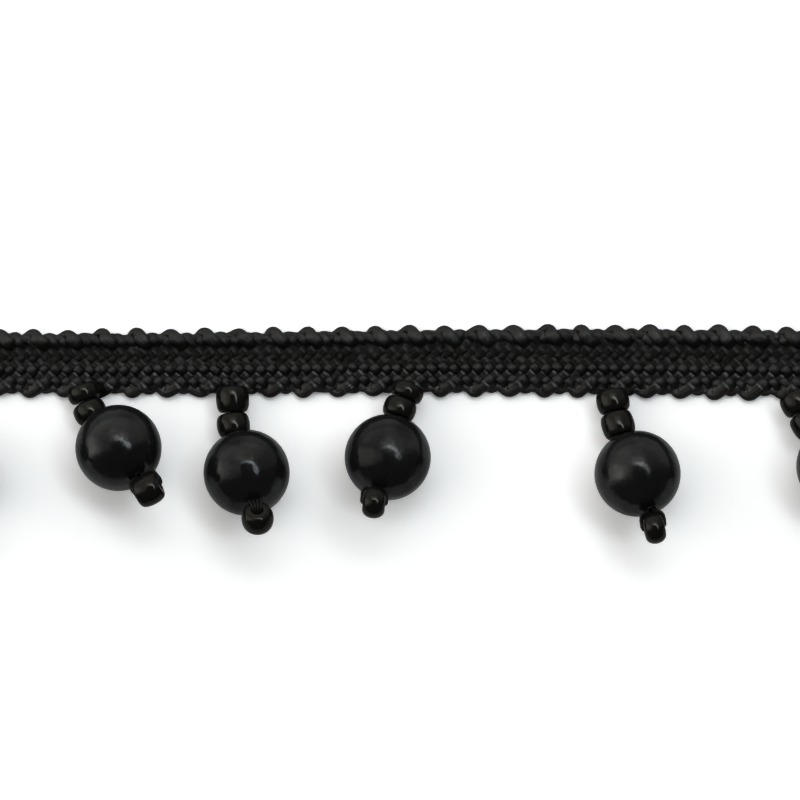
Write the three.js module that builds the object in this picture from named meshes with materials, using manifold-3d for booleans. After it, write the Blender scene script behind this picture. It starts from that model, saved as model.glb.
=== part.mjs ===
// A cut length of beaded gimp trim: a flat braid with scalloped edges, lying flat, and a row of bead
// drops along one edge. Millimetres, +Z up. X runs along the braid, the drops lie towards -Y, and the
// origin is the middle of the braid's flat underside, on the surface that the trim lies on.

import * as THREE from 'three';
import { mergeVertices } from 'three/addons/utils/BufferGeometryUtils.js';
import Module from 'manifold-3d';

const wasm = await Module();
wasm.setup();

// Driving dimensions
const gap = 0.3;

const bumpPitch = 3.193;
const bumpCount = 32;
const braidLength = bumpPitch * bumpCount;
const braidHalfWidth = 2.75;
const bumpHeight = 0.55;
const bumpWidth = 0.66;
const secondBumpShare = 0.2;
const secondBumpWidth = 0.12;
const braidThickness = 1.5;
const ridgeHeight = 0.13;
const furrowDepth = 0.16;
const furrowAcross = 0.6;
const furrowWidth = 0.1;
const ridgeSlant = 1.0;
const lowerBumpShift = -0.2;
const widthGainPerMm = 0.0016;
const bowHeight = 0.12;
const bowLength = 75;
const bowCentreX = 11;

const ballRadius = 4;
const ballHoleRadius = 0.82;
const seedRadius = 1.52;
const seedHoleRadius = 0.6;
const seedShoulderRadius = 1.1;
const seedRoundness = 0.42;
const stopRadius = 1.48;
const stopGap = 0.45;
const threadRadius = 0.2;
const loopRadius = 0.13;
const finestDetail = 0.004;

// Each drop, from left to right. A lean is the turn of a stretch from straight across the braid
// towards +X, and a rise is how steeply it climbs away from the surface. Upper is the stretch between
// the two seeds, lower the one from the second seed to the ball, stop the one past the ball. A seed's
// length is its share of the thread, which includes the gap to its neighbour. The stop bead lies
// across the thread: turned about it, and skewed about the vertical. A lower roundness makes a bead's
// ends squarer.
const drops = [
  { ballX: -39.1, ballY: -9.7, upperLength: 2.0, upperLean: 24, upperRise: 8, lowerLength: 2.1,
    lowerLean: 36, lowerRise: 20, stopLength: 2.3, stopLean: 34, stopRise: 38, stopTurn: -10,
    stopSkew: 0, stopRoundness: 0.6 },
  { ballX: -23.84, ballY: -8.02, upperLength: 1.65, upperLean: 19, upperRise: 4, lowerLength: 1.75,
    lowerLean: 39, lowerRise: 27, stopLength: 2.5, stopLean: 37, stopRise: 36, stopTurn: 8,
    stopSkew: -14, stopRoundness: 0.5 },
  { ballX: -11.96, ballY: -10.31, upperLength: 2.5, upperLean: 2, upperRise: 4, lowerLength: 2.05,
    lowerLean: 16, lowerRise: 24, stopLength: 2.4, stopLean: 15, stopRise: 43.5, stopTurn: 80,
    stopSkew: 0, stopRoundness: 0.7 },
  { ballX: 1.12, ballY: -8.89, upperLength: 1.55, upperLean: -24, upperRise: 12, lowerLength: 1.85,
    lowerLean: -14, lowerRise: 20, stopLength: 2.15, stopLean: -17, stopRise: 43.5, stopTurn: 0,
    stopSkew: 12, stopRoundness: 0.9 },
  { ballX: 24.28, ballY: -10.41, upperLength: 2.15, upperLean: 12, upperRise: 12, lowerLength: 2.3,
    lowerLean: 21, lowerRise: 20, stopLength: 2.0, stopLean: 16, stopRise: 29.5, stopTurn: 0,
    stopSkew: -4, stopRoundness: 0.85 },
  { ballX: 43.0, ballY: -9.7, upperLength: 2.1, upperLean: 26, upperRise: 10, lowerLength: 2.2,
    lowerLean: 36, lowerRise: 18, stopLength: 2.2, stopLean: 30, stopRise: 34, stopTurn: 12,
    stopSkew: 0, stopRoundness: 0.6 },
];

const rayon = new THREE.MeshStandardMaterial({ color: 0x16140f, roughness: 0.55 });
const blackGlass = new THREE.MeshStandardMaterial({ color: 0x0b0b0c, roughness: 0.12 });
const blackPearl = new THREE.MeshStandardMaterial({ color: 0x0c0d0f, roughness: 0.16 });
const blackThread = new THREE.MeshStandardMaterial({ color: 0x121110, roughness: 0.6 });

const trim = new THREE.Group();

// Solids, joined and cut

function solidOf(geometry) {
  const plain = geometry.clone();
  plain.deleteAttribute('normal');
  plain.deleteAttribute('uv');
  const merged = mergeVertices(plain, 1e-4);
  const mesh = new wasm.Mesh({
    numProp: 3,
    vertProperties: Float32Array.from(merged.attributes.position.array),
    triVerts: Uint32Array.from(merged.index.array),
  });
  return new wasm.Manifold(mesh);
}

function geometryOf(solid) {
  const mesh = solid.getMesh();
  const geometry = new THREE.BufferGeometry();
  geometry.setAttribute('position', new THREE.BufferAttribute(mesh.vertProperties, 3));
  geometry.setIndex(new THREE.BufferAttribute(mesh.triVerts, 1));
  geometry.computeVertexNormals();
  return geometry;
}

// The unit direction of a stretch that leans towards +X and rises from the surface, in degrees.
function direction(lean, rise) {
  const turn = THREE.MathUtils.degToRad(lean);
  const climb = THREE.MathUtils.degToRad(rise);
  const across = Math.cos(climb);
  return new THREE.Vector3(Math.sin(turn) * across, -Math.cos(turn) * across, Math.sin(climb));
}

function placement(centre, axis) {
  const turn = new THREE.Quaternion().setFromUnitVectors(new THREE.Vector3(0, 1, 0), axis);
  return new THREE.Matrix4().compose(centre, turn, new THREE.Vector3(1, 1, 1));
}

function add(name, geometry, material, centre, axis) {
  const mesh = new THREE.Mesh(geometry, material);
  mesh.name = name;
  if (centre) {
    mesh.position.copy(centre);
    mesh.quaternion.setFromUnitVectors(new THREE.Vector3(0, 1, 0), axis);
  }
  trim.add(mesh);
}

// Beads, turned about +Y with a hole along it

function beadGeometry(radius, holeRadius, halfLength, roundness, rings, segments) {
  const profile = [];
  for (let i = 0; i <= rings; i += 1) {
    const angle = Math.PI * (i / rings - 0.5);
    const swell = Math.cos(angle) ** roundness;
    const height = Math.sin(angle) * halfLength;
    profile.push(new THREE.Vector2(holeRadius + (radius - holeRadius) * swell, height));
  }
  profile.push(profile[0].clone());
  return new THREE.LatheGeometry(profile, segments);
}

function ballGeometry() {
  const rings = 9;
  const holeAngle = Math.asin(ballHoleRadius / ballRadius);
  const profile = [];
  for (let i = 0; i <= rings; i += 1) {
    const angle = Math.PI - holeAngle - (Math.PI - 2 * holeAngle) * (i / rings);
    profile.push(new THREE.Vector2(Math.sin(angle) * ballRadius, Math.cos(angle) * ballRadius));
  }
  profile.push(profile[0].clone());
  return new THREE.LatheGeometry(profile, 16);
}

function seedGeometry(radius, length, roundness, clearance) {
  const rings = 5;
  const segments = 10;
  const halfLength = (length - gap) / 2 + clearance;
  return beadGeometry(radius + clearance, seedHoleRadius, halfLength, roundness, rings, segments);
}

// The places and directions of one drop's beads, worked out from the ball towards both ends.
function layOut(drop) {
  const ball = new THREE.Vector3(drop.ballX, drop.ballY, ballRadius);
  const lowerWay = direction(drop.lowerLean, drop.lowerRise);
  const upperWay = direction(drop.upperLean, drop.upperRise);
  const stopWay = direction(drop.stopLean, drop.stopRise);
  const lowerReach = ballRadius + (gap + drop.lowerLength) / 2;
  const lower = ball.clone().addScaledVector(lowerWay, -lowerReach);
  const lowerAxis = lowerWay.clone().add(upperWay).normalize();
  const bendRoom = seedShoulderRadius * Math.tan(lowerAxis.angleTo(upperWay) / 2);
  const seedReach = (drop.upperLength + drop.lowerLength) / 2 + bendRoom;
  const upper = lower.clone().addScaledVector(upperWay, -seedReach);
  const stop = ball.clone().addScaledVector(stopWay, ballRadius + stopGap + stopRadius);
  const holeWay = lowerWay.clone().add(stopWay).normalize();
  const sideways = new THREE.Vector3(0, 0, 1).cross(stopWay).normalize();
  const stopAxis = sideways.applyAxisAngle(stopWay, THREE.MathUtils.degToRad(drop.stopTurn));
  stopAxis.applyAxisAngle(new THREE.Vector3(0, 0, 1), THREE.MathUtils.degToRad(drop.stopSkew));
  return { ball, lower, upper, stop, holeWay, lowerAxis, upperAxis: upperWay, stopWay, stopAxis };
}

// The thread of one drop: up through the seeds and the ball, and a loop through the stop bead.

function tube(points, radius, sides, steps) {
  const section = new THREE.Shape();
  for (let i = 0; i < sides; i += 1) {
    const angle = (2 * Math.PI * i) / sides;
    const x = Math.cos(angle) * radius;
    const y = Math.sin(angle) * radius;
    if (i === 0) section.moveTo(x, y);
    else section.lineTo(x, y);
  }
  section.closePath();
  const extrudePath = new THREE.CatmullRomCurve3(points, false, 'centripetal');
  return new THREE.ExtrudeGeometry(section, { steps, extrudePath, bevelEnabled: false });
}

function threadGeometry(drop, place) {
  const { ball, lower, upper, stop, holeWay, stopWay, stopAxis, lowerAxis, upperAxis } = place;
  const along = (start, way, distance) => start.clone().addScaledVector(way, distance);
  const halfUpper = (drop.upperLength - gap) / 2;
  const halfLower = (drop.lowerLength - gap) / 2;
  const mainPoints = [
    along(upper, upperAxis, -halfUpper),
    along(upper, upperAxis, 0.5 * halfUpper),
    along(lower, lowerAxis, -0.6 * halfLower),
    along(lower, lowerAxis, 0.6 * halfLower),
    along(ball, holeWay, -0.85 * ballRadius),
    along(ball, holeWay, 0),
    along(ball, holeWay, 0.8 * ballRadius),
  ];
  const main = solidOf(tube(mainPoints, threadRadius, 6, 14));

  const halfStop = (drop.stopLength - gap) / 2;
  const clear = gap + loopRadius;
  const squareWay = along(stopWay, stopAxis, -stopWay.dot(stopAxis)).normalize();
  const legAt = (side, outward, upward) => {
    const point = along(stop, stopAxis, side * outward);
    return point.addScaledVector(squareWay, upward);
  };
  const leg = (side) => [
    along(along(ball, holeWay, 0.7 * ballRadius), stopAxis, side * 0.08),
    along(along(ball, holeWay, 1.03 * ballRadius), stopAxis, side * 0.3),
    legAt(side, halfStop + 0.75 * clear, -0.95 * stopRadius),
    legAt(side, halfStop + clear, -0.55 * stopRadius),
    legAt(side, halfStop + 0.8 * clear, -0.12 * stopRadius),
    legAt(side, 0.6 * halfStop, 0),
  ];
  const loop = solidOf(tube([...leg(1), ...leg(-1).reverse()], loopRadius, 5, 28));
  return geometryOf(main.add(loop).simplify(finestDetail));
}

// The braid

// One bump of an edge at a place counted in pitches, from 0 in a valley to 1 on its top, with a low
// second bump halfway between two tops.
function bump(pitches) {
  const fromTop = pitches - Math.round(pitches);
  const fromHalfway = Math.abs(fromTop) - 0.5;
  const arch = Math.max(0, Math.cos((Math.PI * fromTop) / bumpWidth));
  return arch + secondBumpShare * Math.exp(-((fromHalfway / secondBumpWidth) ** 2));
}

function edgeOffset(x, side) {
  const shift = side > 0 ? 0 : lowerBumpShift;
  return braidHalfWidth * (1 + widthGainPerMm * x) + bumpHeight * bump((x - shift) / bumpPitch);
}

function centreLine(x) {
  return bowHeight * Math.cos((2 * Math.PI * (x - bowCentreX)) / bowLength);
}

// The section at x, as a point for each spoke: across is a share of the half width and up a share of
// the thickness, round from the underside's middle by the upper edge and over the top.
const sectionPoints = [
  { across: 0, up: 0 },
  { across: 0.86, up: 0 },
  { across: 1, up: 0.34 },
  { across: 0.93, up: 0.66 },
  { across: 0.78, up: 0.88 },
  { across: 0.6, up: 0.97 },
  { across: 0.32, up: 1 },
  { across: 0, up: 1 },
  { across: -0.32, up: 1 },
  { across: -0.6, up: 0.97 },
  { across: -0.78, up: 0.88 },
  { across: -0.93, up: 0.66 },
  { across: -1, up: 0.34 },
  { across: -0.86, up: 0 },
];

// How far the top face stands above or below its mean height: the thick strands' diagonal ridges,
// which slant one way along the upper edge and the other way along the lower one, and the long furrow
// beside each edge band.
function relief(x, y, across) {
  const upperEdge = edgeOffset(x, 1);
  const lowerEdge = -edgeOffset(x, -1);
  const upperPhase = (x - (upperEdge - y) * ridgeSlant) / bumpPitch;
  const lowerPhase = (x - lowerBumpShift - (y - lowerEdge) * ridgeSlant) / bumpPitch;
  const upperShare = THREE.MathUtils.smoothstep(across, -0.3, 0.7);
  const lowerShare = THREE.MathUtils.smoothstep(-across, -0.1, 0.7);
  const ridges = upperShare * Math.cos(2 * Math.PI * upperPhase)
    + lowerShare * Math.cos(2 * Math.PI * lowerPhase);
  const furrow = Math.exp(-(((Math.abs(across) - furrowAcross) / furrowWidth) ** 2));
  return ridgeHeight * ridges - furrowDepth * furrow;
}

function braidPoint(x, spoke) {
  const { across, up } = sectionPoints[spoke];
  const edge = edgeOffset(x, Math.sign(across));
  const y = across * edge;
  const onTop = up > 0.6;
  const height = up * braidThickness + (onTop ? relief(x, y, across) : 0);
  return { y: centreLine(x) + y, z: height };
}

function braidGeometry() {
  const stations = 6 * bumpCount;
  const spokes = sectionPoints.length;
  const geometry = new THREE.CylinderGeometry(1, 1, braidLength, spokes, stations);
  const position = geometry.attributes.position;
  for (let i = 0; i < position.count; i += 1) {
    const x = position.getY(i);
    const isCapCentre = Math.hypot(position.getX(i), position.getZ(i)) < 0.5;
    const turns = Math.atan2(position.getX(i), position.getZ(i)) / (2 * Math.PI);
    const spoke = Math.round((1 + turns) * spokes) % spokes;
    const point = isCapCentre ? { y: centreLine(x), z: 0.5 * braidThickness } : braidPoint(x, spoke);
    position.setXYZ(i, x, point.y, point.z);
  }
  return geometry;
}

// The braid gives way where the first seed of each drop presses into its edge.
function pressedBraid(places) {
  let braid = solidOf(braidGeometry());
  drops.forEach((drop, index) => {
    const seat = seedGeometry(seedRadius, drop.upperLength, seedRoundness, gap);
    const { upper, upperAxis } = places[index];
    const plug = new THREE.CylinderGeometry(1, 1, drop.upperLength, 12);
    const whole = solidOf(seat).add(solidOf(plug));
    braid = braid.subtract(whole.transform(placement(upper, upperAxis).elements));
  });
  return geometryOf(braid);
}

// The trim, put together

const places = drops.map(layOut);

add('gimp_braid', pressedBraid(places), rayon);

drops.forEach((drop, index) => {
  const place = places[index];
  const number = index + 1;
  const upper = seedGeometry(seedRadius, drop.upperLength, seedRoundness, 0);
  const lower = seedGeometry(seedRadius, drop.lowerLength, seedRoundness, 0);
  const stop = seedGeometry(stopRadius, drop.stopLength, drop.stopRoundness, 0);
  add(`seed_upper_${number}`, upper, blackGlass, place.upper, place.upperAxis);
  add(`seed_lower_${number}`, lower, blackGlass, place.lower, place.lowerAxis);
  add(`ball_${number}`, ballGeometry(), blackPearl, place.ball, place.holeWay);
  add(`stop_bead_${number}`, stop, blackGlass, place.stop, place.stopAxis);
  add(`thread_${number}`, threadGeometry(drop, place), blackThread);
});

export default trim;
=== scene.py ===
# A cut length of beaded gimp trim on a white surface, seen from straight above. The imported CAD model
# is the frame; here its plain solids get their twelve yarns, twisted threads, fine beads and finishes.
# Sizes are in millimetres, and are turned into metres where a mesh or an object is made.

import math

import bpy
import numpy as np
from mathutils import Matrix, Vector


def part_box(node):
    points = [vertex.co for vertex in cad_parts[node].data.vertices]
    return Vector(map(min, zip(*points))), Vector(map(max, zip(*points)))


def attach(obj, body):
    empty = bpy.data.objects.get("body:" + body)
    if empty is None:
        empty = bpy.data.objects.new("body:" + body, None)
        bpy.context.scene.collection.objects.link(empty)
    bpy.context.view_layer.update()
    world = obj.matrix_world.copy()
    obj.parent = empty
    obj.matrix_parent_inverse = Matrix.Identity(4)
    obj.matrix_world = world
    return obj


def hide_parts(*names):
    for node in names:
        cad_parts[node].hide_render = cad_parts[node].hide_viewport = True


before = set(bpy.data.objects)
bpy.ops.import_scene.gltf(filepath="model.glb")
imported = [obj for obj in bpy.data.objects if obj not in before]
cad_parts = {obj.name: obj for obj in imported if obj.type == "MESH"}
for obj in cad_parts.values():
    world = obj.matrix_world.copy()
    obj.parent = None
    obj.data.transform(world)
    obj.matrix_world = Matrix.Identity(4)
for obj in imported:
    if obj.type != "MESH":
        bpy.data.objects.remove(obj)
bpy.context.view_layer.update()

MM = 0.001
UP = np.array([0.0, 0.0, 1.0])
DROPS = 6
rng = np.random.RandomState(7)


# Curves and meshes


def unit(vectors):
    """The vectors, each made one long."""
    return vectors / np.linalg.norm(vectors, axis=-1, keepdims=True)


def smooth_curve(points, step):
    """Samples at most step apart on a smooth curve through points. Columns past the third, such as
    a width, are carried along."""
    points = np.asarray(points, float)
    chords = np.linalg.norm(np.diff(points[:, :3], axis=0), axis=1)
    knots = np.concatenate([[0.0], np.cumsum(np.sqrt(chords))])
    slopes = np.gradient(points, knots, axis=0)
    samples = []
    for i, chord in enumerate(chords):
        span = knots[i + 1] - knots[i]
        count = max(1, math.ceil(chord / step))
        t = np.arange(count)[:, None] / count
        samples.append(
            points[i] * (1 + 2 * t) * (1 - t) ** 2
            + slopes[i] * span * t * (1 - t) ** 2
            + points[i + 1] * t**2 * (3 - 2 * t)
            + slopes[i + 1] * span * t**2 * (t - 1)
        )
    samples.append(points[-1:])
    return np.concatenate(samples)


def carried_sides(tangents):
    """A side direction for each tangent, turned as little as possible from one to the next."""
    start = np.cross(tangents[0], UP)
    if np.linalg.norm(start) < 0.1:
        start = np.cross(tangents[0], [1.0, 0.0, 0.0])
    sides = [unit(start)]
    for tangent in tangents[1:]:
        side = sides[-1] - tangent * (sides[-1] @ tangent)
        sides.append(unit(side))
    return np.array(sides)


def squared(wave, square):
    """A sine or cosine, reshaped so that it makes an ellipse for a square of 2 and a flatter form for
    more."""
    return np.sign(wave) * np.abs(wave) ** (2 / square)


def tube(path, width, height, sides, level=False, square=2.0, plies=0, ply_depth=0.0, ply_turn=1.0):
    """A closed tube on path as (vertices, quads, triangles, uv of each quad). A level one keeps its
    width in the plane of the braid. Square is the power of its section: 2 for an ellipse, more for a
    flatter one. Plies raise that many strands that twist once in ply_turn."""
    path = np.asarray(path, float)
    tangents = unit(np.gradient(path, axis=0))
    across = unit(np.cross(tangents, UP)) if level else carried_sides(tangents)
    over = np.cross(across, tangents)
    length = np.concatenate([[0.0], np.cumsum(np.linalg.norm(np.diff(path, axis=0), axis=1))])
    angles = 2 * np.pi * np.arange(sides) / sides
    beside = squared(np.cos(angles), square)
    above = squared(np.sin(angles), square)
    width = np.broadcast_to(width, len(path))[:, None]
    height = np.broadcast_to(height, len(path))[:, None]
    swell = np.ones((len(path), sides))
    if plies:
        twist = 2 * np.pi * length[:, None] / ply_turn
        mean_ridge = 0.6
        swell += ply_depth * (np.abs(np.cos(plies / 2 * (angles[None] - twist))) - mean_ridge)
    rings = (
        path[:, None]
        + across[:, None] * (0.5 * width * swell * beside)[..., None]
        + over[:, None] * (0.5 * height * swell * above)[..., None]
    )
    vertices = np.concatenate([rings.reshape(-1, 3), path[:1], path[-1:]])
    ring = np.arange(len(path) - 1)[:, None] * sides
    k = np.arange(sides)[None]
    after = (k + 1) % sides
    quads = np.stack([ring + k, ring + sides + k, ring + sides + after, ring + after], -1)
    last = (len(path) - 1) * sides
    first_cap, last_cap = len(path) * sides, len(path) * sides + 1
    k, after = k[0], after[0]
    caps = np.concatenate(
        [
            np.stack([np.full(sides, first_cap), k, after], -1),
            np.stack([np.full(sides, last_cap), last + after, last + k], -1),
        ]
    )
    start = np.broadcast_to(length[:-1, None], (len(path) - 1, sides))
    end = np.broadcast_to(length[1:, None], (len(path) - 1, sides))
    left = np.broadcast_to(np.arange(sides) / sides, start.shape)
    right = left + 1 / sides
    corners = [(left, start), (left, end), (right, end), (right, start)]
    uv = np.stack([np.stack(corner, -1) for corner in corners], 2)
    return vertices, quads.reshape(-1, 4), caps, uv.reshape(-1, 4, 2)


def lathe(profile, segments, centre, axis):
    """A ring turned about axis through centre, from a closed profile of (along, out) pairs."""
    profile = np.asarray(profile, float)
    axis = unit(np.asarray(axis, float))
    one = unit(np.cross(axis, UP if abs(axis[2]) < 0.9 else [1.0, 0.0, 0.0]))
    two = np.cross(axis, one)
    angles = 2 * np.pi * np.arange(segments) / segments
    spokes = np.cos(angles)[:, None] * one + np.sin(angles)[:, None] * two
    rings = centre + profile[:, None, :1] * axis + profile[:, None, 1:] * spokes[None]
    count = len(profile)
    i = np.arange(count)[:, None]
    j = np.arange(segments)[None]
    next_i, next_j = (i + 1) % count, (j + 1) % segments
    corners = [
        i * segments + j,
        i * segments + next_j,
        next_i * segments + next_j,
        next_i * segments + j,
    ]
    quads = np.stack(corners, -1).reshape(-1, 4)
    lengths = np.linalg.norm(np.diff(profile, axis=0, append=profile[:1]), axis=1)
    along = np.concatenate([[0.0], np.cumsum(lengths)])
    low = np.broadcast_to(along[:-1, None], (count, segments))
    high = np.broadcast_to(along[1:, None], (count, segments))
    left = np.broadcast_to(j / segments, (count, segments))
    right = left + 1 / segments
    uv = np.stack(
        [np.stack(c, -1) for c in [(left, low), (right, low), (right, high), (left, high)]], 2
    )
    no_caps = np.zeros((0, 3), int)
    return rings.reshape(-1, 3), quads, no_caps, uv.reshape(-1, 4, 2)


def facing_out(vertices, quads, triangles, uv):
    """The same mesh with its faces turned outwards."""
    a, b, c, d = (vertices[quads[:, n]] for n in range(4))
    volume = np.sum(np.cross(a, b) * c) + np.sum(np.cross(a, c) * d)
    if volume < 0:
        return vertices, quads[:, ::-1], triangles[:, ::-1], uv[:, ::-1]
    return vertices, quads, triangles, uv


def piece(name, parts, material, nodes):
    """One mesh object from the parts, riding on the root body in place of the CAD nodes."""
    parts = [facing_out(*part) for part in parts]
    starts = np.cumsum([0] + [len(part[0]) for part in parts])
    vertices = np.concatenate([part[0] for part in parts]) * MM
    quads = np.concatenate([part[1] + start for part, start in zip(parts, starts)])
    caps = np.concatenate([part[2] + start for part, start in zip(parts, starts)])
    uv = np.concatenate([part[3].reshape(-1, 2) for part in parts])
    mesh = bpy.data.meshes.new(name)
    mesh.from_pydata(vertices.tolist(), [], quads.tolist() + caps.tolist())
    layer = mesh.uv_layers.new(name="UVMap")
    flat = np.zeros((len(mesh.loops), 2), np.float32)
    flat[: len(uv)] = uv
    layer.data.foreach_set("uv", flat.ravel())
    mesh.polygons.foreach_set("use_smooth", np.ones(len(mesh.polygons), bool))
    mesh.materials.append(material)
    mesh.update()
    obj = bpy.data.objects.new(name, mesh)
    bpy.context.scene.collection.objects.link(obj)
    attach(obj, "root")
    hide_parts(*nodes)
    return obj


# Numbers worked out in a node tree


class Numbers:
    """Adds nodes to a tree that work out numbers. A value is a number or a node's output."""

    def __init__(self, tree):
        self.tree = tree

    def put(self, socket, value):
        if isinstance(value, (int, float)):
            socket.default_value = value
        else:
            self.tree.links.new(value, socket)

    def maths(self, operation, *values):
        node = self.tree.nodes.new("ShaderNodeMath")
        node.operation = operation
        for socket, value in zip(node.inputs, values):
            self.put(socket, value)
        return node.outputs["Value"]

    def ranged(self, value, source, target, interpolation="LINEAR"):
        """The value with the source range mapped to the target range, and held at both ends."""
        node = self.tree.nodes.new("ShaderNodeMapRange")
        node.interpolation_type = interpolation
        self.put(node.inputs["Value"], value)
        for end, place in enumerate(("Min", "Max")):
            node.inputs[f"From {place}"].default_value = source[end]
            node.inputs[f"To {place}"].default_value = target[end]
        return node.outputs["Result"]

    def step(self, value, start, end):
        """From 0 at start to 1 at end, smoothly."""
        return self.ranged(value, (start, end), (0.0, 1.0), "SMOOTHSTEP")

    def between(self, value, low, high, soft):
        """1 from low to high, fading to 0 over soft outside both."""
        rise = self.step(value, low - soft, low)
        fall = self.step(value, high + soft, high)
        return self.maths("MULTIPLY", rise, fall)

    def product(self, *values):
        result = values[0]
        for value in values[1:]:
            result = self.maths("MULTIPLY", result, value)
        return result

    def total(self, *values):
        result = values[0]
        for value in values[1:]:
            result = self.maths("ADD", result, value)
        return result

    def split(self, coordinates):
        """The x, y and z of the coordinates."""
        node = self.tree.nodes.new("ShaderNodeSeparateXYZ")
        self.tree.links.new(coordinates, node.inputs["Vector"])
        return [node.outputs[name] for name in "XYZ"]


# Materials


def new_material(name, colour, roughness, ior):
    material = bpy.data.materials.new(name)
    material.use_nodes = True
    shader = material.node_tree.nodes["Principled BSDF"]
    shader.inputs["Base Color"].default_value = (*colour, 1.0)
    shader.inputs["Roughness"].default_value = roughness
    shader.inputs["IOR"].default_value = ior
    return material, shader


def strand_coordinates(tree):
    """Coordinates round a yarn or thread, in turns, and along it, in millimetres."""
    uv = tree.nodes.new("ShaderNodeUVMap")
    uv.uv_map = "UVMap"
    return uv.outputs["UV"]


def object_coordinates(tree):
    """Coordinates in metres, in the frame."""
    return tree.nodes.new("ShaderNodeTexCoord").outputs["Object"]


def noise(tree, coordinates, scale, detail):
    """A noise texture, with the coordinates scaled by three numbers before it."""
    mapping = tree.nodes.new("ShaderNodeMapping")
    mapping.inputs["Scale"].default_value = scale
    texture = tree.nodes.new("ShaderNodeTexNoise")
    texture.inputs["Scale"].default_value = 1.0
    texture.inputs["Detail"].default_value = detail
    tree.links.new(coordinates, mapping.inputs["Vector"])
    tree.links.new(mapping.outputs["Vector"], texture.inputs["Vector"])
    return texture.outputs["Fac"]


def add_bump(tree, shader, height, depth, strength):
    """Raises the surface by a texture's brightness, where depth is in millimetres."""
    bump = tree.nodes.new("ShaderNodeBump")
    bump.inputs["Strength"].default_value = strength
    bump.inputs["Distance"].default_value = depth * MM
    tree.links.new(height, bump.inputs["Height"])
    tree.links.new(bump.outputs["Normal"], shader.inputs["Normal"])


RAYON_COLOUR = (0.0085, 0.008, 0.0072)

# Painted shade and sheen: how strongly the yarns shine is set by where they lie across the braid.
# It is lower in the middle than towards the edges, and highest at the lower edge, which faces away
# from the light. Each step is where across the braid, in millimetres, the shine starts and ends to
# rise, and by how much.
MIDDLE_PAINTED_SHINE = 0.24
PAINTED_SHINE_STEPS = [(1.5, 2.1, 0.28), (0.0, -0.5, 0.28), (-1.9, -2.4, 0.22)]


def rayon_material():
    """Dull black filament yarn: fine lines along each strand and a sheen across them, with painted
    shade and sheen that set how strongly it shines by where it lies across the braid.
    """
    material, shader = new_material("rayon", RAYON_COLOUR, roughness=0.34, ior=1.5)
    tree = material.node_tree
    shader.inputs["Anisotropic"].default_value = 0.85
    tangent = tree.nodes.new("ShaderNodeTangent")
    tangent.direction_type = "UV_MAP"
    tangent.uv_map = "UVMap"
    tree.links.new(tangent.outputs["Tangent"], shader.inputs["Tangent"])
    filaments = noise(tree, strand_coordinates(tree), scale=(22.0, 0.5, 1.0), detail=3.0)
    add_bump(tree, shader, filaments, depth=0.12, strength=0.8)

    # Painted shade and sheen: the shine rises from the middle towards the edges, by place across the
    # braid.
    numbers = Numbers(tree)
    across = numbers.split(object_coordinates(tree))[1]
    shine = MIDDLE_PAINTED_SHINE
    for start, end, gain in PAINTED_SHINE_STEPS:
        rise = numbers.step(across, start * MM, end * MM)
        shine = numbers.total(shine, numbers.product(rise, gain))
    tree.links.new(shine, shader.inputs["Specular IOR Level"])
    return material


GLASS_COLOUR = (0.01, 0.0095, 0.0088)
GLASS_SHINE_COLOUR = (1.0, 0.99, 0.89, 1.0)


def glass_material():
    """Opaque black glass with a polished surface."""
    material, shader = new_material("black glass", GLASS_COLOUR, roughness=0.08, ior=1.36)
    shader.inputs["Specular Tint"].default_value = GLASS_SHINE_COLOUR
    return material


PEARL_COLOUR = (0.0112, 0.0114, 0.0118)
WAVES_PER_METRE = 800.0
BLOTCHES_PER_METRE = 320.0
CLOUDS_PER_METRE = 290.0


def pearl_material():
    """Black pearl lacquer: glossy, with very shallow waves, and with blotches and faint clouds where
    its coat is a little duller or shines less."""
    material, shader = new_material("black pearl", PEARL_COLOUR, roughness=0.17, ior=1.45)
    tree = material.node_tree
    numbers = Numbers(tree)
    place = object_coordinates(tree)
    waves = noise(tree, place, scale=(WAVES_PER_METRE,) * 3, detail=2.0)
    add_bump(tree, shader, waves, depth=0.075, strength=0.85)
    blotches = noise(tree, place, scale=(BLOTCHES_PER_METRE,) * 3, detail=3.0)
    roughness = numbers.ranged(blotches, source=(0.3, 0.7), target=(0.12, 0.23))
    tree.links.new(roughness, shader.inputs["Roughness"])
    clouds = noise(tree, place, scale=(CLOUDS_PER_METRE,) * 3, detail=4.0)
    shine = numbers.ranged(clouds, source=(0.39, 0.62), target=(0.25, 0.72))
    tree.links.new(shine, shader.inputs["Specular IOR Level"])
    return material


THREAD_COLOUR = (0.0095, 0.009, 0.0088)


def thread_material():
    """Matt black sewing thread."""
    material, shader = new_material("sewing thread", THREAD_COLOUR, roughness=0.6, ior=1.4)
    tree = material.node_tree
    fibres = noise(tree, strand_coordinates(tree), scale=(14.0, 2.5, 1.0), detail=2.0)
    add_bump(tree, shader, fibres, depth=0.05, strength=0.6)
    return material


# The braid's twelve strands

BUMPS = 32
STRANDS = 12
THICK_EVERY = 3
WIDTH_GAIN_PER_MM = 0.0016
BOW_HEIGHT = 0.12
BOW_LENGTH = 75.0
BOW_CENTRE_X = 11.0

# The strands run about this high above the surface, and lower away from the middle line, by the crown
# times the distance squared. Their ups and downs grow by the gain, and ease off towards the limit.
MIDDLE_HEIGHT = 0.84
CROWN = 0.045
FLOAT_GAIN = 1.45
FLOAT_LIMIT = 0.3

STRAND_STEP = 0.12
STRAND_SIDES = 14
STRAND_SQUARE = 2.4
PAST_THE_CUT = 1.2
SEAT_CLEARANCE = 0.02
SEAT_POWER = 2.6

# How much a strand's points differ from an even braid's: along, across and up, in width and in height.
UNEVENNESS = np.array([0.045, 0.045, 0.04, 0.05, 0.03])

braid_low, braid_high = (np.array(corner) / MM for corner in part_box("gimp_braid"))
braid_length = braid_high[0] - braid_low[0]
bump_pitch = braid_length / BUMPS
strand_pitch = bump_pitch / THICK_EVERY
strand_period = strand_pitch * STRANDS

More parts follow.
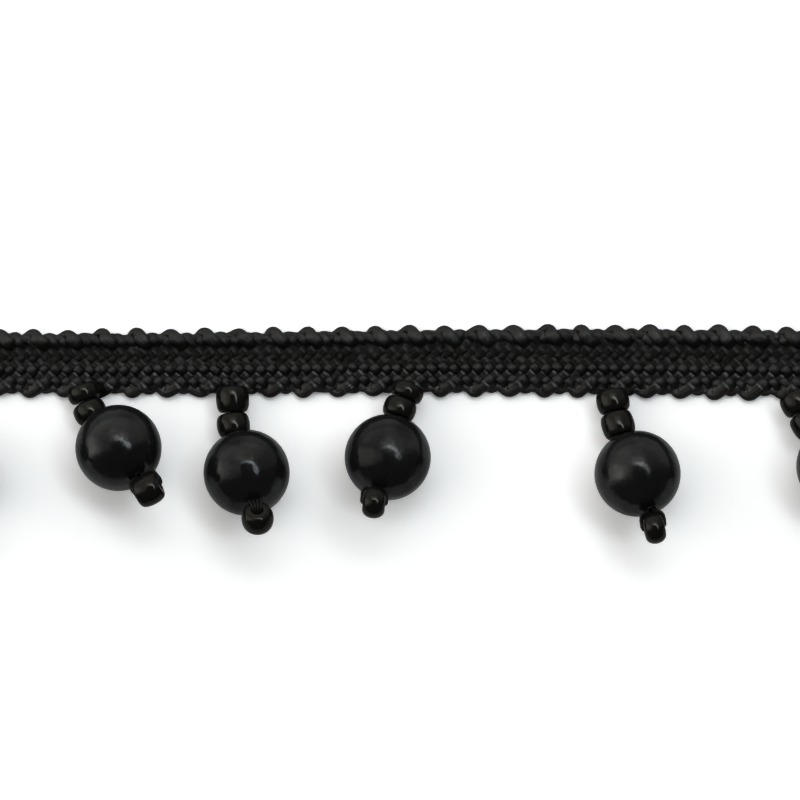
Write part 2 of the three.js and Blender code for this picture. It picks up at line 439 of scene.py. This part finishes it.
# The rows where strands cross, from the upper edge down. Across is a row's distance from the middle
# line. Advance is the share of a strand pitch that a strand covers on its way down to this row from
# the one before, the first from the turn at the upper edge. Going up, it covers the rest of a pitch.
# Down and up are the height of a strand on its way down and on its way up. Edge_down and edge_up are
# how much of its size at the edge it still has there, on the two ways. The last advance leads from the
# last row to the turn at the lower edge.
ROWS = [
    {"across": 2.28, "advance": 0.44, "down": 0.26, "up": -0.2, "edge_down": 1.0, "edge_up": 0.4},
    {"across": 1.96, "advance": 0.33, "down": 0.24, "up": -0.3, "edge_down": 0.95, "edge_up": 0.3},
    {"across": 1.52, "advance": 0.35, "down": 0.02, "up": -0.16, "edge_down": 0.6, "edge_up": 0.2},
    {"across": 0.95, "advance": 0.36, "down": -0.16, "up": 0.1, "edge_down": 0.1, "edge_up": 0.0},
    {"across": 0.38, "advance": 0.50, "down": 0.04, "up": -0.05, "edge_down": 0.0, "edge_up": 0.0},
    {"across": -0.18, "advance": 0.50, "down": -0.14, "up": 0.07, "edge_down": 0.0, "edge_up": 0.0},
    {"across": -0.70, "advance": 0.50, "down": 0.26, "up": -0.12, "edge_down": 0.0, "edge_up": 0.0},
    {"across": -1.26, "advance": 0.50, "down": -0.16, "up": 0.03, "edge_down": 0.0, "edge_up": 0.0},
    {"across": -1.82, "advance": 0.50, "down": 0.26, "up": -0.12, "edge_down": 0.1, "edge_up": 0.4},
    {"across": -2.22, "advance": 0.58, "down": -0.12, "up": 0.12, "edge_down": 0.5, "edge_up": 0.95},
    {"across": -2.44, "advance": 0.62, "down": -0.16, "up": 0.08, "edge_down": 0.8, "edge_up": 1.0},
]
LAST_ADVANCE = 0.5

# A thick and a thin strand: how far out it turns at an edge, its width and height there, its widths
# on the way down and up across the middle, where the yarns press it flatter, its height there, how
# much lower it lies on top of an edge than a thick one, and how little it spreads under others there.
STRAND_KINDS = {
    "thick": {
        "turn": 2.68,
        "wide": 1.26,
        "tall": 0.86,
        "down": 0.8,
        "up": 0.98,
        "height": 0.4,
        "sink": 0.0,
        "firm": 1.0,
    },
    "thin": {
        "turn": 2.34,
        "wide": 0.84,
        "tall": 0.6,
        "down": 0.7,
        "up": 0.92,
        "height": 0.36,
        "sink": 0.2,
        "firm": 0.0,
    },
}

# At the lower edge a strand is this much wider and turns this much further out. Under others it
# spreads by this share of its width, unless it is firm.
LOWER_EDGE_SHARE = 1.06
LOWER_EDGE_REACH = 0.06
UNDER_SPREAD = 0.4
TURN_HEIGHT = 0.05


def one_period(kind):
    """The points (x, y, z, width, height) of a strand from one turn at the upper edge up to the next,
    with x from that turn and y, z from the braid's middle. Where it runs under others it spreads."""
    turn, wide, tall = kind["turn"], kind["wide"], kind["tall"]

    def at_row(x, row, way):
        edge = row[f"edge_{way}"]
        edge_width = wide if row["across"] > 0 else wide * LOWER_EDGE_SHARE
        width = kind[way] + edge * (edge_width - kind[way])
        height = kind["height"] + edge * (tall - kind["height"])
        z = row[way]
        if z < 0:
            width *= 1 + UNDER_SPREAD * (1 - kind["firm"] * min(1.0, 2 * edge))
        else:
            z -= kind["sink"] * edge
        return x, row["across"], z, width, height

    points = [(0.0, turn, TURN_HEIGHT, wide, tall)]
    x = 0.0
    downs = []
    for row in ROWS:
        x += row["advance"] * strand_pitch
        downs.append(x)
        points.append(at_row(x, row, "down"))
    x += LAST_ADVANCE * strand_pitch
    points.append((x, -turn - LOWER_EDGE_REACH, -TURN_HEIGHT, wide * LOWER_EDGE_SHARE, tall))
    for number in reversed(range(len(ROWS))):
        crossing = downs[number] + (len(ROWS) - number) * strand_pitch
        points.append(at_row(crossing, ROWS[number], "up"))
    return np.array(points)


def kind_of(index):
    return "thick" if index % THICK_EVERY == 0 else "thin"


def strand_path(index):
    """The whole run of one strand, past both cut ends, in the frame."""
    period = one_period(STRAND_KINDS[kind_of(index)])
    periods = math.ceil(braid_length / strand_period) + 2
    first_turn = -0.5 * braid_length - 1.5 * strand_period
    first_turn = math.floor(first_turn / strand_period) * strand_period + index * strand_pitch
    points = []
    for number in range(periods + 1):
        moved = period + rng.normal(size=period.shape) * UNEVENNESS
        moved[:, 0] += first_turn + number * strand_period
        points.append(moved)
    path = smooth_curve(np.concatenate(points), STRAND_STEP)
    path = path[np.abs(path[:, 0]) < 0.5 * braid_length + PAST_THE_CUT]
    x, y = path[:, 0].copy(), path[:, 1].copy()
    bow = BOW_HEIGHT * np.cos(2 * np.pi * (x - BOW_CENTRE_X) / BOW_LENGTH)
    path[:, 1] = bow + y * (1 + WIDTH_GAIN_PER_MM * x)
    flattened = FLOAT_LIMIT * np.tanh(FLOAT_GAIN * path[:, 2] / FLOAT_LIMIT)
    path[:, 2] = MIDDLE_HEIGHT + flattened - CROWN * y**2
    return path


def make_room(vertices, bead):
    """The strands' vertices, pushed out of a bead that presses into them."""
    offset = vertices - bead["centre"]
    along = offset @ bead["axis"]
    out = np.linalg.norm(offset - along[:, None] * bead["axis"], axis=1)
    reach = (np.abs(along) / (bead["half"] + SEAT_CLEARANCE)) ** SEAT_POWER
    reach += (out / (bead["radius"] + SEAT_CLEARANCE)) ** SEAT_POWER
    inside = reach < 1
    least_reach = 1e-3
    scale = np.where(inside, np.maximum(reach, least_reach) ** (-1 / SEAT_POWER), 1.0)
    return bead["centre"] + offset * scale[:, None]


def strand_part(index, beads):
    """One strand, cut at the braid's ends, resting on the surface and pressed aside by the beads."""
    path = strand_path(index)
    route, width, height = path[:, :3], path[:, 3], path[:, 4]
    whole = tube(route, width, height, STRAND_SIDES, level=True, square=STRAND_SQUARE)
    vertices, quads, caps, uv = whole
    for bead in beads:
        vertices = make_room(vertices, bead)
    vertices[:, 0] = np.clip(vertices[:, 0], braid_low[0], braid_high[0])
    vertices[:, 2] = np.maximum(vertices[:, 2], 0.0)
    return vertices, quads, caps, uv


# Beads


def measured(node):
    """A CAD bead's centre, hole axis, half length and radius, from its own mesh."""
    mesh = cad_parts[node].data
    points = np.unique(np.round([tuple(v.co) for v in mesh.vertices], 7), axis=0) / MM
    centre = points.mean(0)
    spread, axes = np.linalg.eigh(np.cov((points - centre).T))
    lone = 0 if spread[1] - spread[0] > spread[2] - spread[1] else 2
    axis = axes[:, lone]
    along = (points - centre) @ axis
    out = np.linalg.norm(points - centre - along[:, None] * axis, axis=1)
    return {"centre": centre, "axis": axis, "half": np.abs(along).max(), "radius": out.max()}


def pointed(bead, target):
    """The bead with its axis towards the target rather than away from it."""
    sign = 1.0 if (target - bead["centre"]) @ bead["axis"] > 0 else -1.0
    return {**bead, "axis": bead["axis"] * sign}


# The CAD beads stand a gap apart. Here each small bead grows at both ends and all round, and both
# seeds of a drop move towards the ball, so that the gaps nearly close.
SEED_GROWTH = 0.12
SEED_SWELL = 0.04
SEED_SHIFT = 0.15

# A lower roundness makes a bead's ends squarer. The stop beads' are those of the CAD beads.
SEED_ROUNDNESS = {"upper": 0.42, "lower": 0.36}
STOP_ROUNDNESS = (0.6, 0.5, 0.7, 0.9, 0.85, 0.6)
SEED_HOLE = 0.55
STOP_HOLE = 0.5
SEED_RIM = 0.14
SEED_SEGMENTS = 56
SEED_POINTS = 29
RIM_POINTS = 5

BALL_RADIUS = 4.0
BALL_HOLE = 0.55
BALL_RIM = 0.16
BALL_SEGMENTS = 96
BALL_POINTS = 72


def grown(bead):
    """A small bead's half length and radius here."""
    return bead["half"] + SEED_GROWTH, bead["radius"] + SEED_SWELL


def seed_profile(half, radius, hole, roundness):
    """A seed bead's section as (along, out) pairs: its swelling outside and its hole's rims."""
    rim = SEED_RIM
    outside = []
    for angle in np.linspace(-0.5 * np.pi, 0.5 * np.pi, SEED_POINTS):
        swell = max(0.0, math.cos(angle)) ** roundness
        outside.append((half * math.sin(angle), hole + rim + (radius - hole - rim) * swell))
    bend = np.linspace(0, 0.5 * np.pi, RIM_POINTS)[1:]
    far_rim = [(half - rim + rim * math.cos(a), hole + rim - rim * math.sin(a)) for a in bend]
    near_rim = [(-along, out) for along, out in reversed(far_rim)]
    return outside + far_rim + near_rim


def seed_part(bead, hole, roundness):
    half, radius = grown(bead)
    profile = seed_profile(half, radius, hole, roundness)
    return lathe(profile, SEED_SEGMENTS, bead["centre"], bead["axis"])


def ball_part(ball):
    """The ball, from its section: a circle, the soft rims of its hole and the hole's wall."""
    start = math.asin((BALL_HOLE + BALL_RIM) / BALL_RADIUS)
    angles = np.linspace(np.pi - start, start, BALL_POINTS)
    outside = [(BALL_RADIUS * math.cos(a), BALL_RADIUS * math.sin(a)) for a in angles]
    end = outside[-1][0]
    bevel = 0.35 * BALL_RIM
    far_rim = [(end - bevel, BALL_HOLE + bevel), (end - BALL_RIM, BALL_HOLE)]
    near_rim = [(-along, out) for along, out in reversed(far_rim)]
    profile = outside + far_rim + near_rim
    return lathe(profile, BALL_SEGMENTS, ball["centre"], ball["axis"])


# Threads

THREAD_WIDTH = 0.36
THREAD_ROOT = 0.75
THREAD_ROOT_SHARE = 0.6
LOOP_WIDTH = 0.24
LOOP_TURNS = (-1.5, -0.5, 0.5, 1.5)
THREAD_SIDES = 15
THREAD_STEP = 0.09
THREAD_PLIES = {"plies": 3, "ply_depth": 0.3, "ply_turn": 1.1}


def twisted(points, width):
    path = smooth_curve(points, THREAD_STEP)
    return tube(path, width, width, THREAD_SIDES, **THREAD_PLIES)


def strung_part(drop):
    """The thread from inside the braid through both seeds and the ball."""
    upper, lower, ball = drop["upper"], drop["lower"], drop["ball"]
    root = upper["centre"] - upper["axis"] * (upper["half"] + THREAD_ROOT)
    root[2] = THREAD_ROOT_SHARE * MIDDLE_HEIGHT
    points = [root]
    for bead in (upper, lower):
        for share in (-0.6, 0.6):
            points.append(bead["centre"] + bead["axis"] * bead["half"] * share)
    for share in (-0.85, 0.0, 0.8):
        points.append(ball["centre"] + ball["axis"] * BALL_RADIUS * share)
    return twisted(points, THREAD_WIDTH)


def loop_parts(drop, roundness):
    """The turns of thread out of the ball, over both ends of the stop bead and through its hole."""
    ball, stop = drop["ball"], drop["stop"]
    sideways = stop["axis"]
    away = stop["centre"] - ball["centre"]
    away = unit(away - sideways * (away @ sideways))
    third = np.cross(away, sideways)
    half, radius = grown(stop)
    clear = 0.5 * LOOP_WIDTH
    mouth = ball["centre"] + ball["axis"] * BALL_RADIUS

    def against(degrees):
        """How far along and out from the bead's middle a thread lies that touches it there."""
        angle = math.radians(degrees)
        swell = math.cos(angle) ** roundness
        shoulder = (radius - STOP_HOLE - SEED_RIM) * swell
        steepness = shoulder * roundness * math.tan(angle)
        facing = unit(np.array([steepness, half * math.cos(angle)]))
        return np.array([half * math.sin(angle), STOP_HOLE + SEED_RIM + shoulder]) + clear * facing

    # Out of the ball: how far from its mouth, how far to the side, and how far the turns are spread.
    leaving = [(-1.2, 0.12, 0.6), (-0.1, 0.24, 0.9)]

    # Over the bead and into its hole: how far along it, how far back towards the ball, and the spread.
    passing = [
        (*against(48), 1.3),
        (*against(62), 1.5),
        (*against(76), 1.4),
        (half + 0.8 * clear, 0.24 * radius, 1.1),
        (0.85 * half, 0.06 * radius, 1.0),
        (0.4 * half, 0.0, 1.0),
    ]

    def leg(side, turn):
        beside = sideways * side
        apart = third * turn * LOOP_WIDTH
        points = []
        for along, outward, spread in leaving:
            points.append(mouth + ball["axis"] * along + beside * outward + apart * spread)
        for outward, back, spread in passing:
            points.append(stop["centre"] + beside * outward - away * back + apart * spread)
        return points

    return [twisted(leg(1, turn) + leg(-1, turn)[::-1], LOOP_WIDTH) for turn in LOOP_TURNS]


# The trim, put together

rayon = rayon_material()
glass = glass_material()
pearl = pearl_material()
sewing_thread = thread_material()

drops = []
for number in range(1, DROPS + 1):
    ball = measured(f"ball_{number}")
    lower = pointed(measured(f"seed_lower_{number}"), ball["centre"])
    upper = pointed(measured(f"seed_upper_{number}"), lower["centre"])
    stop = measured(f"stop_bead_{number}")
    ball = pointed(ball, stop["centre"])
    for bead in (upper, lower):
        bead["centre"] = bead["centre"] + lower["axis"] * SEED_SHIFT
    drops.append({"upper": upper, "lower": lower, "ball": ball, "stop": stop})

seated = [drop["upper"] for drop in drops]
for index in range(STRANDS):
    part = strand_part(index, seated)
    name = f"gimp_strand_{index + 1}_{kind_of(index)}"
    piece(name, [part], rayon, ["gimp_braid"])

for number, drop in enumerate(drops, start=1):
    for place in ("upper", "lower"):
        part = seed_part(drop[place], SEED_HOLE, SEED_ROUNDNESS[place])
        node = f"seed_{place}_{number}"
        piece(f"{node}_fine", [part], glass, [node])
    roundness = STOP_ROUNDNESS[number - 1]
    part = seed_part(drop["stop"], STOP_HOLE, roundness)
    node = f"stop_bead_{number}"
    piece(f"{node}_fine", [part], glass, [node])
    node = f"ball_{number}"
    piece(f"{node}_fine", [ball_part(drop["ball"])], pearl, [node])
    node = f"thread_{number}"
    parts = [strung_part(drop), *loop_parts(drop, roundness)]
    piece(f"{node}_twisted", parts, sewing_thread, [node])


# The white surface it lies on. The camera sees a brightly lit sheet, and the glossy beads reflect a
# dimmer one just below it, as a picture shows that has been exposed for its black object.

FLOOR_SIZE = 3.0
WHITE_GLOW = 0.22
GREY_HEIGHT = -0.05
GREY_ALBEDO = 0.6


def floor(name, height, albedo):
    """A staged matt sheet, and its shader."""
    half = 0.5 * FLOOR_SIZE
    corners = [(x * half, y * half, height * MM) for x, y in ((-1, -1), (1, -1), (1, 1), (-1, 1))]
    mesh = bpy.data.meshes.new(name)
    mesh.from_pydata(corners, [], [(0, 1, 2, 3)])
    material, shader = new_material(name, (albedo,) * 3, roughness=0.9, ior=1.4)
    shader.inputs["Specular IOR Level"].default_value = 0.0
    mesh.materials.append(material)
    obj = bpy.data.objects.new(name, mesh)
    bpy.context.scene.collection.objects.link(obj)
    return obj, shader


white, white_shader = floor("white surface", height=0.0, albedo=1.0)
white_shader.inputs["Emission Color"].default_value = (1.0, 1.0, 1.0, 1.0)
white_shader.inputs["Emission Strength"].default_value = WHITE_GLOW
white.visible_glossy = False
white.visible_diffuse = False
white.visible_shadow = False
grey, _ = floor("reflected surface", height=GREY_HEIGHT, albedo=GREY_ALBEDO)
grey.visible_camera = False


# The room's light, as brightness by direction: a broad soft light from the upper side, a window to
# the left, a glow above, a bright soft arc round the camera's dark shape from above it to its right,
# and a dark room towards the lower side. Positions are parts of the direction's x and y.

BROAD_LEAN = -0.32
BROAD_EDGE = (-0.2, 0.16)
BROAD_STRENGTH = 0.98
RIGHT_FADE = (0.0, 0.8)
RIGHT_DIMMING = 0.5

WINDOW_STRENGTH = 1.25
WINDOW = {"x_range": (-0.9, -0.76), "y_range": (-0.06, 0.2), "soft": 0.28}
GLOW_STRENGTH = 1.1
GLOW = {"x_range": (-0.25, 0.2), "y_range": (0.46, 0.58), "soft": 0.22}

ARC_STRENGTH = 7.6
ARC_CENTRE_X = 0.03
ARC_BAND = {"low": 0.41, "high": 0.48, "soft": 0.09}
ARC_LEAN = 0.8
ARC_UPPER_RIGHT = (0.0, 0.62)
ARC_NOT_LOW = (-0.24, 0.26)

CAMERA_SHADE = 0.98
CAMERA_SHAPE = {"x_range": (-0.22, 0.26), "y_range": (-1.0, 0.28), "soft": 0.08}
HORIZON = (-0.02, 0.02)
ROOM_STRENGTH = 0.1
GROUND_STRENGTH = 0.5

SOFT_COLOUR = (1.0, 0.985, 0.955)
ARC_COLOUR = (0.88, 0.96, 1.0)
ROOM_COLOUR = (1.0, 1.0, 1.0)


class Light(Numbers):
    """The world's node tree, with numbers that depend on the direction that is looked in."""

    def __init__(self):
        world = bpy.data.worlds.new("room light")
        world.use_nodes = True
        bpy.context.scene.world = world
        super().__init__(world.node_tree)
        self.tree.nodes.clear()
        place = self.tree.nodes.new("ShaderNodeTexCoord")
        self.x, self.y, self.z = self.split(place.outputs["Generated"])

    def patch(self, x_range, y_range, soft):
        """A soft-edged rectangle as seen from below against the sky."""
        inside_x = self.between(self.x, *x_range, soft)
        inside_y = self.between(self.y, *y_range, soft)
        return self.product(inside_x, inside_y)

    def broad(self):
        """The light from the upper side, dimmer to the right."""
        lit = self.step(self.total(self.product(self.x, BROAD_LEAN), self.y), *BROAD_EDGE)
        dimming = self.product(self.step(self.x, *RIGHT_FADE), RIGHT_DIMMING)
        return self.product(lit, self.maths("SUBTRACT", 1.0, dimming), BROAD_STRENGTH)

    def arc(self):
        """A ring round the camera, only above it and to its right."""
        offset = self.total(self.x, -ARC_CENTRE_X)
        square = self.total(self.product(offset, offset), self.product(self.y, self.y))
        distance = self.maths("POWER", square, 0.5)
        band = self.between(distance, **ARC_BAND)
        diagonal = self.total(self.x, self.product(self.y, ARC_LEAN))
        upper_right = self.step(diagonal, *ARC_UPPER_RIGHT)
        not_low = self.step(self.y, *ARC_NOT_LOW)
        return self.product(band, upper_right, not_low, ARC_STRENGTH)

    def finish(self, colours):
        """Adds up (strength, colour) pairs into the world's background."""
        combined = None
        for strength, colour in colours:
            background = self.tree.nodes.new("ShaderNodeBackground")
            background.inputs["Color"].default_value = (*colour, 1.0)
            self.put(background.inputs["Strength"], strength)
            shader = background.outputs["Background"]
            if combined is not None:
                add = self.tree.nodes.new("ShaderNodeAddShader")
                self.tree.links.new(combined, add.inputs[0])
                self.tree.links.new(shader, add.inputs[1])
                shader = add.outputs["Shader"]
            combined = shader
        output = self.tree.nodes.new("ShaderNodeOutputWorld")
        self.tree.links.new(combined, output.inputs["Surface"])


def light_the_room():
    light = Light()
    above = light.step(light.z, *HORIZON)
    below = light.maths("SUBTRACT", 1.0, above)
    window = light.product(light.patch(**WINDOW), WINDOW_STRENGTH)
    glow = light.product(light.patch(**GLOW), GLOW_STRENGTH)
    shade = light.product(light.patch(**CAMERA_SHAPE), CAMERA_SHADE)
    open_sky = light.product(light.maths("SUBTRACT", 1.0, shade), above)
    soft = light.product(light.total(light.broad(), window, glow), open_sky)
    bright = light.product(light.arc(), open_sky)
    room = light.product(above, ROOM_STRENGTH)
    ground = light.product(below, GROUND_STRENGTH)
    rest = light.total(room, ground)
    light.finish([(soft, SOFT_COLOUR), (bright, ARC_COLOUR), (rest, ROOM_COLOUR)])


light_the_room()


# The camera, straight above

VIEW_CENTRE = (2.26, -3.58)
VIEW_WIDTH = 74.16
VIEW_PLANE_HEIGHT = 4.0
CAMERA_DISTANCE = 550.0
SENSOR_WIDTH = 36.0

camera_data = bpy.data.cameras.new("camera")
camera_data.sensor_width = SENSOR_WIDTH
camera_data.lens = SENSOR_WIDTH * CAMERA_DISTANCE / VIEW_WIDTH
camera_data.clip_start = 0.02
camera_data.clip_end = 20.0
camera = bpy.data.objects.new("camera", camera_data)
camera.location = Vector((*VIEW_CENTRE, CAMERA_DISTANCE + VIEW_PLANE_HEIGHT)) * MM
bpy.context.scene.collection.objects.link(camera)
bpy.context.scene.camera = camera

bpy.context.scene.view_settings.view_transform = "Standard"
bpy.context.scene.view_settings.exposure = 0.0
bpy.context.scene.view_settings.gamma = 0.8
